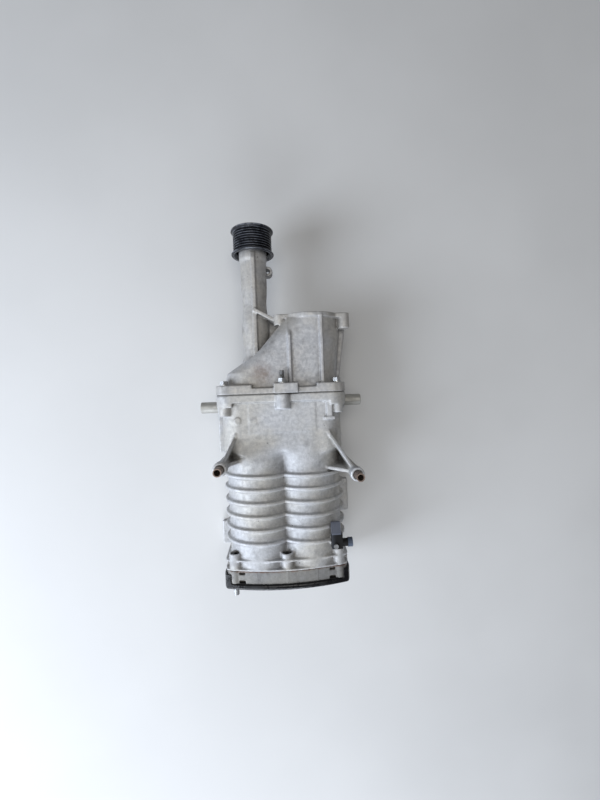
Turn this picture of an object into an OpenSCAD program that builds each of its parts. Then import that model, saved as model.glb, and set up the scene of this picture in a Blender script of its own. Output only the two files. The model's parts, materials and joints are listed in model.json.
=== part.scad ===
// Belt-driven twin-rotor supercharger, as an assembly of its separate pieces.
// Millimetres. +Z is up and the outlet flange rests on z = 0. +Y runs along the
// shafts towards the pulley. Inside the modules y = 0 is the main joint face and
// outlines are drawn in X and Z from the line midway between the two shafts.

/* [Rotors] */
// Distance between the two rotor shafts
rotor_cc = 69.5; // [58:0.1:83.4]
// Length of the lobed part of each rotor
rotor_len = 159; // [132.5:0.5:191]
// Twist of each rotor over its length, in degrees
rotor_twist = 160; // [100:1:190]
// Gap between the rotors, and from each rotor to its bore and end walls
rotor_gap = 0.4; // [0.3:0.05:0.6]
// Diameter of the rotor shafts and the input shaft
shaft_d = 17; // [14.1:0.1:20.4]

/* [Rotor housing] */
// Wall thickness of the castings
wall = 5.5; // [4.5:0.1:6.6]
// Height of the ribs above the rotor bores' outer wall
rib_h = 5; // [4:0.1:6]
// Ribs round each bore
rib_n = 6; // [4:1:7]
// Length of the inlet plenum, from the joint face to the front bearing wall
plenum_len = 77; // [64:0.5:92]
// Thickness of the front bearing wall
front_wall_t = 12; // [10:0.1:14.4]
// Distance from the bores' outer wall down to the outlet face
outlet_drop = 22.6; // [19:0.1:27]
// Thickness of the outlet flange
outlet_flange_t = 10; // [8.4:0.1:12]
// Height of the leg faces above the shafts
leg_rise = 95; // [80:0.5:114]
// Length of each foot sleeve outside its leg
sleeve_out = 17; // [14:0.5:20.4]

/* [Joint and inlet casting] */
// Thickness of the housing's front flange
flange_t = 11; // [9.2:0.1:13.2]
// Thickness of the inlet casting's flange between its corner pads
inlet_flange_t = 8; // [6.7:0.1:9.6]
// Thickness of the joint gasket
gasket_t = 0.8; // [0.6:0.1:1]
// Distance from the joint face to the throttle flange face
throttle_y = 112; // [94:0.5:134]
// Diameter of the inlet bore
throttle_d = 76; // [64:0.5:80]
// Reach of the side spigots from the centre line
spigot_reach = 119; // [112:0.5:140]
// Outer diameter of the side spigots
spigot_d = 16.6; // [14:0.1:20]

/* [Snout and pulley] */
// Distance from the joint face to the pulley's rear edge
pulley_y = 207; // [180:0.5:248]
// Diameter over the belt ribs
pulley_d = 57.4; // [54:0.1:68.9]
// Height of the pulley flanges above the belt ribs
pulley_lip = 2.9; // [2.4:0.1:3.5]
// Number of belt ribs
belt_ribs = 8; // [6:1:9]
// Outer diameter of the snout's bearings
snout_bearing_d = 35; // [32:0.1:37]

/* [Gear end] */
// Thickness of the bearing plate
plate_t = 18; // [17.6:0.1:21.6]
// Depth of the gear cover's rim behind the bearing plate
cover_t = 8; // [7:0.1:9.6]
// Outer diameter of the rear rotor bearings
gear_bearing_d = 40; // [36:0.1:44]
// Teeth on each timing gear
gear_teeth = 30; // [26:2:36]

/* [Hidden] */
$fn = 64;

// Clearances
press = 0.02;       // round each pressed or seated piece
run = 0.06;         // running fit of a shaft in its needle rollers
ball_gap = 0.3;     // from a ball to its grooves
seal_gap = 0.3;     // from a seal lip to its shaft
seat = 0.3;         // endwise, beside a piece in its pocket

// Rotors: cycloidal lobes, so that either rotor rolls on the other
lobes = 4;
sector = 180 / lobes;
sector_steps = 10;
rotor_slices = 26;
pitch_r = rotor_cc / 2;
roll_r = pitch_r / (2 * lobes);
flank_gap = rotor_gap / 2;
tip_r = pitch_r + 2 * roll_r - flank_gap;
bore_r = tip_r + rotor_gap;
shaft_r = shaft_d / 2;

// Cross-section sizes
lobe_r = bore_r + wall;
half_w = pitch_r + lobe_r + 8;
flange_up = lobe_r + 3.8;
flange_corner = 22;
box_w = half_w - 6;
box_up = flange_up - 6;
box_corner = 28;
rear_w = half_w - 3.5;
rear_up = flange_up - 1.2;
rear_corner = 25;
rear_crown_r = 296;     // of the rear outline's top and bottom edges
axis_z = lobe_r + outlet_drop;

// Pulley
belt_pitch = 3.56;
rib_depth = 2.8;
lip_w = 4;
pulley_r = pulley_d / 2;
pulley_flange_r = pulley_r + pulley_lip;
pulley_cavity_r = pulley_r - rib_depth - 2;
pulley_bore_y = pulley_y + 19.5;
pulley_web_y = pulley_bore_y + 7;
pulley_hub_r = shaft_r + 4.5;

// Stations along Y
housing_front = -gasket_t;
wall_front = -plenum_len;
wall_rear = wall_front - front_wall_t;
rotor_front = wall_rear - rotor_gap;
rotor_rear = rotor_front - rotor_len;
housing_rear = rotor_rear - rotor_gap;
plate_rear = housing_rear - plate_t;
cover_front = plate_rear - gasket_t;
cover_rear = cover_front - cover_t;
pulley_front = pulley_y + belt_pitch * belt_ribs + 2 * lip_w;
plug_out = 13;
y_mid = (pulley_front + cover_rear - plug_out) / 2;

// Fasteners (M6 throughout)
bolt_r = 3;
bolt_head_r = 5.8;
bolt_head_h = 5;
bolt_x = half_w - 13;
bolt_z = flange_up - 11;
washer_r = 6.4;
bolt_hole_r = bolt_r + 0.3;
dowel_r = 3;
joint_pad_t = inlet_flange_t + 5;

// Legs: the right leg stands further out and further back than the left
leg_left = [-(half_w - 11), wall_front - 17];
leg_right = [half_w + 2.6, wall_front - 31];
leg_boss_r = 9.2;
sleeve_r = 5.3;
sleeve_seat_r = 5;
sleeve_bore_r = 3.9;
sleeve_in = 14;

// Outlet flange's lugs: side, centre and length along Y
outlet_lugs = [[-1, wall_front + 17, 72], [-1, housing_rear + 18, 38], [1, wall_rear - 88, 54]];

// Side spigots
spigot_left_y = -18;
spigot_right_y = -13.5;
spigot_z = 6;
spigot_in = 11;
spigot_seat_r = spigot_d / 2 - 0.5;
spigot_bore_r = spigot_d / 2 - 2.4;
spigot_chamfer = 0.8;
spigot_face = half_w + 1.5;

// Inlet casting
throttle_x = half_w - 44;
throttle_z = 4;
throttle_r = throttle_d / 2;
throttle_rim = throttle_r + 8;
throttle_flange_t = 6.5;
ear_x = throttle_rim;
ear_z = 24;
duct_w = half_w - 12;
duct_up = box_up;
duct_corner = 33;
duct_side = [[-duct_w - 1, 16], [5 - duct_w, 30], [40 - duct_w, 51], [53 - duct_w, 62],
    [82 - duct_w, 97], [82 - duct_w, throttle_y + 5]];

// Snout
snout_end = pulley_y + 17;
snout_bearing_w = 10;
snout_bearing_r = snout_bearing_d / 2;
nose_r = snout_bearing_r + 3.2;
front_bearing_y = snout_end - 19;
rear_bearing_y = 36;
snout_bearings_y = [front_bearing_y + seat, rear_bearing_y];
balls_n = 9;
seal_w = 6;

// Coupling between the input shaft and the drive rotor's shaft
hub_t = 13;
isolator_t = 9;
coupling_gap = 0.5;
coupling_r = 18;
pin_circle = 13.5;
pin_r = 2.5;
rear_hub_front = 2;
isolator_y = rear_hub_front + coupling_gap;
front_hub_y = isolator_y + isolator_t + coupling_gap;

// Gear end
gear_bearing_w = 12;
gear_bearing_r = gear_bearing_d / 2;
seal_r = 14;
seal_t = 4;
bearing_y = housing_rear - seal_t - 1 - gear_bearing_w;
gear_w = 9;
gear_front = bearing_y - 1;
gear_module = rotor_cc / gear_teeth;
gear_tip_r = pitch_r + gear_module * 0.95;
shaft_rear = gear_front - gear_w - 0.4;
dome_in = shaft_rear - 0.6;
dome_rear = dome_in - 2.5;
cavity_r = gear_tip_r + 1.6;
pressure = 20;
backlash = 0.35;
base_r = pitch_r * cos(pressure);
root_r = pitch_r - gear_module * 1.25;
flank_radii = [root_r, base_r, (base_r + pitch_r) / 2 + 0.4, pitch_r, (pitch_r + gear_tip_r) / 2,
    gear_tip_r];
cover_grow = 1.8;       // from the bearing plate's outline out to the cover's
plug_at = [-(rear_w - 13.4), 28];
plug_r = 4.2;
rear_bolt_x = rear_w - 14.4;
rear_boss_r = 8.8;
rear_boss_y = housing_rear + 23.5;
rear_bolts_at = [for (sx = [-1, 0, 1], sz = [-1, 1])
    [sx * rear_bolt_x, sz * (rear_up - (sx == 0 ? 9.7 : 17.7))]];
joint_bolts_at = [for (sx = [-1, 1], sz = [-1, 1]) [sx * bolt_x, sz * bolt_z]];
stud_at = [2, flange_up + 1];
stud_face = joint_pad_t + 1;
stud_boss_r = 10.4;
stud_boss_drop = 4;     // from the stud's axis down to its boss's
joint_dowel = [half_w - 4.5, 19];
rear_dowel = [rear_w - 5, 14];

// Needle bearings in the front wall
needle_r = 1.25;
needle_n = 20;
cup_r = shaft_r + run + 2 * needle_r + 0.8;
cup_len = front_wall_t - 1.6;
cup_y = wall_rear + 0.8;

// Sensor on the right-hand bore
sensor_x = pitch_r + 35.5;
sensor_y = housing_rear + 38;
sensor_w = 15;
sensor_stem = 10;
sensor_h = 11.3;
sensor_plug_z = 5.5;
sensor_z = sqrt(pow(lobe_r + rib_h, 2) - pow(sensor_x - pitch_r - sensor_w / 2, 2)) + 0.05;

/* ---------- helpers ---------- */

module centred() translate([0, -y_mid, 0]) children();

// Extrudes an outline drawn in X and Z from y0 forward to y1.
module span_y(y0, y1) translate([0, y1, axis_z]) rotate([90, 0, 0])
    linear_extrude(y1 - y0) children();

// Turns a profile drawn as [radius, y] about the line x, z.
module turn_y(x = 0, z = 0) translate([x, 0, axis_z + z]) rotate([-90, 0, 0])
    rotate_extrude() children();

module rod_y(x, z, y0, y1, r) translate([x, y0, axis_z + z]) rotate([-90, 0, 0])
    cylinder(h = y1 - y0, r = r);

module tube_y(x, z, y0, y1, r_out, r_in) difference() {
    rod_y(x, z, y0, y1, r_out);
    rod_y(x, z, y0 - 1, y1 + 1, r_in);
}

module hex_y(x, z, y0, y1, r) translate([x, y0, axis_z + z]) rotate([-90, 30, 0])
    cylinder(h = y1 - y0, r = r, $fn = 6);

// A plate in the Y-Z plane, w thick about x, from points [y, z above the shafts].
module web_x(x, w, points) translate([x - w / 2, 0, axis_z]) rotate([90, 0, 90])
    linear_extrude(w) polygon(points);

module rrect(half_x, half_z, r) {
    square([2 * (half_x - r), 2 * half_z], center = true);
    square([2 * half_x, 2 * (half_z - r)], center = true);
    for (sx = [-1, 1], sz = [-1, 1]) translate([sx * (half_x - r), sz * (half_z - r)]) circle(r);
}

// Rounded rectangle whose top and bottom edges are gentle arcs.
module crowned(half_x, half_z, r) intersection() {
    rrect(half_x, half_z, r);
    translate([0, half_z - rear_crown_r]) circle(rear_crown_r, $fn = 180);
    translate([0, rear_crown_r - half_z]) circle(rear_crown_r, $fn = 180);
}

module both_shafts() for (side = [-1, 1]) translate([side * pitch_r, 0]) children();

/* ---------- castings ---------- */

module rotor_housing() color("#b9b8b2") centred() difference() {
    union() {
        span_y(housing_front - flange_t, housing_front) rrect(half_w, flange_up, flange_corner);
        span_y(housing_front - flange_t - 6, housing_front) intersection() {
            rrect(half_w, flange_up, flange_corner);
            for (side = [-1, 1]) translate([side * half_w, 0]) square([48, 2 * flange_up], center = true);
        }
        span_y(wall_front + 2, housing_front - 1) rrect(box_w, box_up, box_corner);
        plenum_shoulder();
        for (side = [-1, 1]) rod_y(side * pitch_r, 0, housing_rear, wall_front + 6, lobe_r);
        housing_ribs();
        rear_flange();
        outlet_body();
        front_bosses();
        leg(leg_left, -1);
        leg(leg_right, 1);
        sensor_boss();
    }
    span_y(wall_front, housing_front + 1) rrect(box_w - wall, box_up - wall, box_corner - wall);
    for (side = [-1, 1]) {
        rod_y(side * pitch_r, 0, housing_rear - 1, wall_rear, bore_r);
        rod_y(side * pitch_r, 0, wall_rear - 1, wall_front + 1, cup_r + press);
    }
    span_y(wall_rear - 1, wall_front + 1) inlet_ports();
    outlet_port();
    outlet_holes();
    for (at = joint_bolts_at) rod_y(at[0], at[1], housing_front - 26, housing_front + 1, bolt_r + press);
    rod_y(stud_at[0], stud_at[1], housing_front - 17, housing_front + 1, bolt_r + press);
    dowel_holes(joint_dowel, housing_front - 8, housing_front + 1);
    dowel_holes(rear_dowel, housing_rear - 1, housing_rear + 8);
    for (at = rear_bolts_at) {
        rod_y(at[0], at[1], housing_rear - 1, rear_boss_y + 1, bolt_hole_r);
        rod_y(at[0], at[1], rear_boss_y - bolt_head_h - 3, rear_boss_y + 1, washer_r);
    }
    for (at = [leg_left, leg_right]) translate([at[0], at[1], axis_z + leg_rise - sleeve_in - 2])
        cylinder(h = sleeve_in + 3, r = sleeve_seat_r + press);
    spigot_hole(-1, spigot_left_y);
    spigot_hole(1, spigot_right_y);
    at_sensor(-sensor_stem - 1) cylinder(h = sensor_stem + 2, r = 5);
}

// The two bores' outer walls flare out to meet the plenum box.
module plenum_shoulder() {
    flare = 16;
    intersection() {
        span_y(wall_rear, wall_front + 4) rrect(box_w, box_up, box_corner);
        for (side = [-1, 1]) translate([side * pitch_r, wall_rear, axis_z]) rotate([-90, 0, 0])
            cylinder(h = front_wall_t + 4, r1 = lobe_r - 1, r2 = lobe_r - 1 + flare);
    }
}

module housing_ribs() {
    pitch = rotor_len * 0.118;
    first = rotor_front - rotor_len * 0.1677;
    root = 6.4;
    crest = 4;
    for (side = [-1, 1], k = [0 : rib_n - 1]) turn_y(side * pitch_r) translate([0, first - k * pitch])
        polygon([[lobe_r - 2, -root / 2], [lobe_r, -root / 2], [lobe_r + rib_h, -crest / 2],
            [lobe_r + rib_h, crest / 2], [lobe_r, root / 2], [lobe_r - 2, root / 2]]);
}

// Two thin walls with open pockets between the bolt bosses.
module rear_flange() {
    lip = 2.6;
    flange_w = 15.6;
    for (y0 = [housing_rear, housing_rear + flange_w - lip])
        span_y(y0, y0 + lip) crowned(rear_w, rear_up, rear_corner);
    for (at = rear_bolts_at) rod_y(at[0], at[1], housing_rear, rear_boss_y, rear_boss_r);
    span_y(housing_rear, housing_rear + flange_w) {
        for (at = rear_bolts_at) translate([at[0], at[1] - sign(at[1]) * 5])
            square([15, 12], center = true);
        for (side = [-1, 1]) translate([side * (rear_w - 9), 0])
            square([17.9, 2 * rear_up - 50], center = true);
    }
}

module outlet_body() {
    lug_edge = half_w + 15;
    plate_w = half_w - 6;
    plate_front = wall_front + 42;
    plate_back = housing_rear + 2;
    translate([-plate_w, plate_back, 0]) cube([2 * plate_w, plate_front - plate_back, outlet_flange_t]);
    translate([-box_w + 24, housing_rear + 1, 1])
        cube([2 * box_w - 48, wall_front - 12 - housing_rear, axis_z - 20]);
    translate([-box_w + 12, wall_front - 14, 1]) cube([2 * box_w - 24, 44, axis_z - 20]);
    linear_extrude(outlet_flange_t) for (lug = outlet_lugs)
        translate([lug[0] > 0 ? plate_w - 9 : -lug_edge, lug[1] - lug[2] / 2])
            square([lug_edge - plate_w + 9, lug[2]]);
}

// Tapped M8 holes in the outlet face.
module outlet_holes() for (x = [-1, 1], y = [wall_front + 6, housing_rear + 12])
    translate([x * (box_w - 34), y, -1]) cylinder(h = 19, r = 4);

// Triangular outlet under the meeting line of the bores, wide at the rear.
module outlet_port() {
    front = rotor_front - rotor_len * 0.3;
    back = rear_boss_y + 3;
    translate([0, 0, -1]) linear_extrude(axis_z - 11) polygon([[-9, front], [9, front],
        [pitch_r + 9, back + 12], [pitch_r + 9, back], [-pitch_r - 9, back], [-pitch_r - 9, back + 12]]);
}

// Upper part of each bore's end wall, round the needle bearing boss.
module inlet_ports() both_shafts() difference() {
    circle(bore_r - 3.5);
    circle(cup_r + 4.5);
    translate([0, -bore_r]) square([2 * bore_r, 2 * bore_r - 16], center = true);
    translate([0, bore_r / 2]) square([7, bore_r], center = true);
}

module front_bosses() {
    rod_y(stud_at[0], stud_at[1] - stud_boss_drop, housing_front - 21, housing_front, stud_boss_r);
    for (at = joint_bolts_at) rod_y(at[0], at[1], housing_front - 29, housing_front, 8);
    spigot_boss(-1, spigot_left_y);
    spigot_boss(1, spigot_right_y);
    // raised pad and two cast discs on the plenum's top
    translate([-46, wall_front + 22, axis_z + box_up - 2]) cube([93, 42, 2.7]);
    for (x = [-62, -40]) translate([x, wall_front + 40, axis_z + box_up - 2]) cylinder(h = 3.1, r = 4.6);
    // I-shaped lug
    for (y = [-12, -37]) translate([59, y - 2, axis_z + box_up - 18]) cube([15.5, 4, 22.5]);
    translate([63, -37, axis_z + box_up - 18]) cube([8, 25, 21.6]);
    // two nibs on the right-hand wall
    for (y = [-34, -66]) translate([box_w - 2, y, axis_z]) rotate([0, 90, 0]) cylinder(h = 6, r = 2.4);
}

module spigot_boss(side, y) translate([side * spigot_face, y, axis_z + spigot_z])
    rotate([0, -90 * side, 0]) cylinder(h = 22, r = spigot_d / 2 + 4.4);

// Seat for a spigot, with a narrower way through to the plenum.
module spigot_hole(side, y) translate([side * (spigot_face + 1), y, axis_z + spigot_z])
    rotate([0, -90 * side, 0]) {
        cylinder(h = spigot_in + 1 + seat, r = spigot_seat_r + press);
        cylinder(h = spigot_in + 8, r = spigot_bore_r);
    }

// A round column with a boss face, braced by a sloping ridge and an inboard web.
module leg(at, side) {
    foot = -28;
    translate([at[0], at[1], axis_z + foot]) cylinder(h = leg_rise - foot - 12, r = leg_boss_r - 1.6);
    translate([at[0], at[1], axis_z + leg_rise - 14]) cylinder(h = 14, r = leg_boss_r);
    translate([at[0], at[1], axis_z + leg_rise - 24])
        cylinder(h = 10, r1 = leg_boss_r - 1.6, r2 = leg_boss_r);
    ridge_from = [side * (pitch_r + 29), wall_front + 22];
    ridge_gap = [at[0], at[1]] - ridge_from;
    translate([ridge_from[0], ridge_from[1], axis_z]) rotate([90, 0, atan2(ridge_gap[1], ridge_gap[0])])
        translate([0, 0, -2.3]) linear_extrude(4.6)
            polygon([[0, 4], [0, box_up], [6, box_up + 1], [norm(ridge_gap) - 3, leg_rise - 8],
                [norm(ridge_gap), leg_rise - 22], [norm(ridge_gap), 4]]);
    arm_from = [side * (pitch_r + 24), at[1]];
    arm = abs(at[0] - arm_from[0]);
    translate([arm_from[0], arm_from[1], axis_z]) rotate([90, 0, side > 0 ? 0 : 180])
        translate([0, 0, -2.5]) linear_extrude(5)
            polygon([[0, -10], [0, lobe_r - 6], [4, lobe_r - 5], [arm - 2, leg_rise - 16],
                [arm, leg_rise - 30], [arm, -10]]);
}

module sensor_boss() translate([sensor_x, sensor_y, axis_z + 10]) cylinder(h = sensor_z - 10, r = 9.5);

module dowel_holes(at, y0, y1) for (side = [-1, 1])
    rod_y(side * at[0], side * at[1], y0, y1, dowel_r + press);

module inlet_housing() color("#bdbbb5") centred() difference() {
    union() {
        difference() {
            union() {
                inlet_flange();
                duct(0, throttle_rim - 3, 0.5, throttle_y - 1);
                throttle_flange();
                duct_ribs();
                snout_webs();
            }
            duct(wall, throttle_r, -1, throttle_y - 12);
            rod_y(throttle_x, throttle_z, throttle_y - 14, throttle_y + 1, throttle_r);
        }
        snout();
    }
    snout_bores();
    for (at = joint_bolts_at) rod_y(at[0], at[1], -1, joint_pad_t + 8, bolt_hole_r);
    rod_y(stud_at[0], stud_at[1], -1, joint_pad_t + 2, bolt_hole_r);
    dowel_holes(joint_dowel, -1, 6);
    for (sx = [-1, 1], sz = [-1, 1])
        rod_y(throttle_x + sx * ear_x, throttle_z + sz * ear_z, throttle_y - 13, throttle_y + 1, bolt_r);
}

// Flange with thicker ends and a raised block for the stud.
module inlet_flange() {
    span_y(0, inlet_flange_t) rrect(half_w, flange_up, flange_corner);
    span_y(0, joint_pad_t) intersection() {
        rrect(half_w, flange_up, flange_corner);
        for (pad = [[-half_w, 52], [half_w, 42]]) translate([pad[0], 0])
            square([2 * pad[1], 2 * flange_up], center = true);
    }
    span_y(0, stud_face) translate([stud_at[0] + 5, stud_at[1] - 8]) square([33, 32], center = true);
    for (at = joint_bolts_at) rod_y(at[0], at[1], 0, joint_pad_t, washer_r + 2.2);
}

// Loft from the joint to a circle at the throttle, with its left side drawn in behind
// the snout. The void inside is the same loft, inset by the wall.
module duct(inset, end_r, y0, y1) intersection() {
    hull() {
        span_y(y0, 30 - inset) rrect(duct_w - inset, duct_up - inset, duct_corner - inset);
        rod_y(throttle_x, throttle_z, y1 - 8, y1, end_r);
    }
    translate([0, 0, axis_z - 60]) linear_extrude(120) polygon(concat(
        [for (p = duct_side) [p[0] + 0.8 * inset, p[1] - 0.75 * inset]],
        [[throttle_x + 60, throttle_y + 5], [throttle_x + 60, -5], [-duct_w - 5, -5]]));
}

module throttle_flange() {
    y0 = throttle_y - throttle_flange_t;
    rod_y(throttle_x, throttle_z, y0, throttle_y, throttle_rim);
    for (sx = [-1, 1], sz = [-1, 1]) {
        deep = sx > 0 ? 22 : 15;
        rod_y(throttle_x + sx * ear_x, throttle_z + sz * ear_z, throttle_y - deep, throttle_y, 8.4);
        translate([throttle_x + sx * (ear_x - 9) - 10, y0, axis_z + throttle_z + sz * ear_z - 8])
            cube([20, throttle_flange_t, 16]);
    }
}

module duct_ribs() {
    // heights above and below the line from the shafts' level to the throttle's centre
    high = duct_up + 3.4;
    duct_rib(throttle_x - 34, [[4, high], [54, high - 1.6], [80, high - 3], [94, high - 9.6],
        [108, high - 19]]);
    duct_rib(throttle_x + 11, [[4, high], [54, high - 1.6], [108, high - 5]]);
    // edge rib along the right-hand side
    translate([0, 0, axis_z + 6]) linear_extrude(5) polygon([[duct_w - 12, 6], [duct_w + 6, 6],
        [duct_w + 18, throttle_y - 24], [duct_w + 18, throttle_y - 8], [duct_w - 12, throttle_y - 8]]);
}

module duct_rib(x, tops) {
    lean = throttle_z / throttle_y;
    for (up = [-1, 1]) web_x(x, 4.6, concat([for (p = tops) [p[0], up * p[1] + p[0] * lean]],
        [[throttle_y - 4, up * 24 + throttle_z], [54, up * (duct_up - 8)], [4, up * (duct_up - 8)]]));
}

// Outer shape of the snout, with a waist, a swelling and a long nose.
module snout() turn_y(-pitch_r) polygon([[0, rear_bearing_y - 2], [nose_r + 0.8, rear_bearing_y - 2],
        [nose_r + 0.8, rear_bearing_y + 12], [nose_r - 2.9, rear_bearing_y + 20], [nose_r - 3, 66],
        [nose_r - 1.6, 80], [nose_r - 0.6, 92], [nose_r - 0.6, 108], [nose_r - 1.8, 119],
        [nose_r - 3, 130], [nose_r - 2.9, 138], [nose_r - 1.9, 150], [nose_r - 1.5, 160],
        [nose_r - 1.5, pulley_y - 12], [nose_r, pulley_y - 7], [nose_r, snout_end - 1.5],
        [nose_r - 1.5, snout_end], [0, snout_end]]);

module snout_webs() {
    // long rib on top, running down on to the duct
    web_x(-pitch_r + 1, 6.4, [[44, 10], [44, nose_r + 2], [70, nose_r + 4], [pulley_y - 10, nose_r + 4],
        [pulley_y - 1, nose_r + 1], [pulley_y - 1, 10]]);
    web_x(-pitch_r + 1, 6.4, [[60, -10], [60, -nose_r - 2], [pulley_y - 30, -nose_r - 2],
        [pulley_y - 8, -10]]);
    // strut to the throttle flange, with a recessed floor behind it
    reach = [throttle_x - ear_x + pitch_r, throttle_y - 10 - 122];
    translate([-pitch_r, 122, axis_z + 12]) rotate([0, 0, atan2(reach[1], reach[0])])
        translate([0, -2.5, -8]) cube([norm(reach), 5, 22]);
    translate([0, 0, axis_z - 8]) linear_extrude(6) polygon([[-pitch_r, 50], [-pitch_r, 122],
        [throttle_x - ear_x, throttle_y - 12], [throttle_x - ear_x + 8, throttle_y - 26]]);
    // side boss
    translate([-pitch_r + 21, pulley_y - 21, axis_z - 21]) difference() {
        union() {
            cylinder(h = 16, r = 7.4);
            translate([-14, -5, 0]) cube([14, 10, 14]);
        }
        translate([0, 0, -1]) cylinder(h = 18, r = 3.4);
    }
}

module snout_bores() {
    rod_y(-pitch_r, 0, front_bearing_y, snout_end + 1, snout_bearing_r + press);
    rod_y(-pitch_r, 0, rear_bearing_y - 3, rear_bearing_y + snout_bearing_w, snout_bearing_r + press);
    rod_y(-pitch_r, 0, rear_bearing_y, snout_end, shaft_r + 3);
    // relief for the coupling behind the rear bearing
    rod_y(-pitch_r, 0, -1, front_hub_y + hub_t + 1, coupling_r + 2);
}

module joint_gasket() color("#4a4a48") centred() difference() {
    union() {
        span_y(-gasket_t, 0) rrect(half_w - 1, flange_up - 1, flange_corner - 1);
        rod_y(stud_at[0], stud_at[1] - stud_boss_drop, -gasket_t, 0, stud_boss_r - 1);
    }
    span_y(-gasket_t - 1, 1) rrect(duct_w - wall + 1, duct_up - wall + 1, duct_corner - wall);
    for (at = concat(joint_bolts_at, [stud_at])) rod_y(at[0], at[1], -gasket_t - 1, 1, bolt_hole_r);
    dowel_holes(joint_dowel, -gasket_t - 1, 1);
}

module bearing_plate() color("#8d8b86") centred() difference() {
    union() {
        span_y(plate_rear, housing_rear) crowned(rear_w - 1, rear_up - 1.2, rear_corner);
        for (at = rear_bolts_at) rod_y(at[0], at[1], plate_rear, housing_rear, rear_boss_r);
    }
    for (side = [-1, 1]) {
        rod_y(side * pitch_r, 0, housing_rear - seal_t, housing_rear + 1, seal_r + press);
        rod_y(side * pitch_r, 0, plate_rear - 1, housing_rear + 1, shaft_r + 1.5);
        rod_y(side * pitch_r, 0, plate_rear - 1, bearing_y + gear_bearing_w, gear_bearing_r + press);
        rod_y(side * pitch_r, 0, plate_rear - 1, bearing_y, cavity_r);
    }
    for (at = rear_bolts_at) rod_y(at[0], at[1], plate_rear - 1, housing_rear + 1, bolt_hole_r);
    dowel_holes(rear_dowel, housing_rear - 8, housing_rear + 1);
    plate_notches();
}

// Notches beside the corner bosses, open at the outer face.
module plate_notches() {
    notch_x = rear_bolt_x - 10;
    notch_z = rear_up - 6;
    for (side = [-1, 1], up = [-1, 1], y0 = [housing_rear - 5.5, plate_rear - 1])
        span_y(y0, y0 + (y0 < plate_rear ? 5.5 : 3.5)) translate([side * notch_x, up * notch_z])
            square([9, 16], center = true);
}

module gear_cover() color("#17181a") centred() {
    wrap = 14;
    skin = 2;
    half_x = rear_w + cover_grow;
    half_z = rear_up + cover_grow / 2;
    difference() {
        union() {
            span_y(cover_rear + 2.4, cover_front) crowned(half_x, half_z, rear_corner);
            span_y(cover_rear + 0.8, cover_rear + 2.4)
                crowned(half_x - 0.9, half_z - 0.9, rear_corner - 0.9);
            span_y(cover_rear, cover_rear + 0.8) crowned(half_x - 2.4, half_z - 2.4, rear_corner - 2.4);
            for (side = [-1, 1]) rod_y(side * pitch_r, 0, dome_rear, cover_front, cavity_r + skin);
            span_y(dome_rear, cover_front) square([rotor_cc, 34], center = true);
            // skirt along the plate's two sides
            span_y(cover_front - 1, cover_front + wrap) difference() {
                crowned(half_x, half_z, rear_corner);
                square([2 * rear_w - 24, 3 * rear_up], center = true);
            }
        }
        span_y(cover_front, cover_front + wrap + 1) {
            crowned(rear_w - 0.7, rear_up - 0.9, rear_corner);
            for (at = rear_bolts_at) translate(at) circle(rear_boss_r + 0.3);
        }
        for (side = [-1, 1]) rod_y(side * pitch_r, 0, dome_in, cover_front + 1, cavity_r);
        span_y(dome_in, cover_front + 1) square([rotor_cc, 30], center = true);
        for (at = rear_bolts_at) rod_y(at[0], at[1], cover_rear + 3, cover_front + 1, bolt_r + press);
        rod_y(plug_at[0], plug_at[1], cover_rear - 1, cover_rear + 4, plug_r + press);
    }
}

module gear_cover_seal() color("#2b2b2b") centred() difference() {
    span_y(cover_front, plate_rear) crowned(rear_w - 2, rear_up - 2, rear_corner - 1);
    for (side = [-1, 1]) rod_y(side * pitch_r, 0, cover_front - 1, plate_rear + 1, cavity_r);
    span_y(cover_front - 1, plate_rear + 1) square([rotor_cc, 30], center = true);
    for (at = rear_bolts_at) rod_y(at[0], at[1], cover_front - 1, plate_rear + 1, bolt_hole_r);
}

module cover_plug() color("#8f9296") centred() {
    rod_y(plug_at[0], plug_at[1], cover_rear - plug_out, cover_rear + 2.8, plug_r);
}

/* ---------- hardware on the castings ---------- */

module side_spigots() color("#a3a199") centred() {
    spigot(-1, spigot_left_y);
    spigot(1, spigot_right_y);
}

module spigot(side, y) {
    out = spigot_reach - spigot_face;
    translate([side * spigot_face, y, axis_z + spigot_z]) rotate([0, 90 * side, 0]) rotate_extrude()
        polygon([[spigot_bore_r, -spigot_in], [spigot_seat_r, -spigot_in], [spigot_seat_r, 0],
            [spigot_d / 2, 0], [spigot_d / 2, out - spigot_chamfer],
            [spigot_d / 2 - spigot_chamfer, out], [spigot_bore_r, out]]);
}

module foot_sleeves() color("#6d5f57") centred() for (at = [leg_left, leg_right])
    translate([at[0], at[1], axis_z + leg_rise - sleeve_in]) difference() {
        union() {
            cylinder(h = sleeve_in + 1, r = sleeve_seat_r);
            translate([0, 0, sleeve_in]) cylinder(h = sleeve_out, r = sleeve_r);
        }
        translate([0, 0, -1]) cylinder(h = sleeve_in + sleeve_out + 2, r = sleeve_bore_r);
    }

module joint_bolts() color("#9a9c9e") centred() for (at = joint_bolts_at) {
    rod_y(at[0], at[1], housing_front - 24, joint_pad_t + 1, bolt_r);
    rod_y(at[0], at[1], joint_pad_t, joint_pad_t + 1.4, washer_r);
    hex_y(at[0], at[1], joint_pad_t + 1.2, joint_pad_t + 1.2 + bolt_head_h, bolt_head_r);
}

module joint_stud() color("#a9aaa8") centred()
    rod_y(stud_at[0], stud_at[1], housing_front - 16, stud_face + 17, bolt_r);

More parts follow.
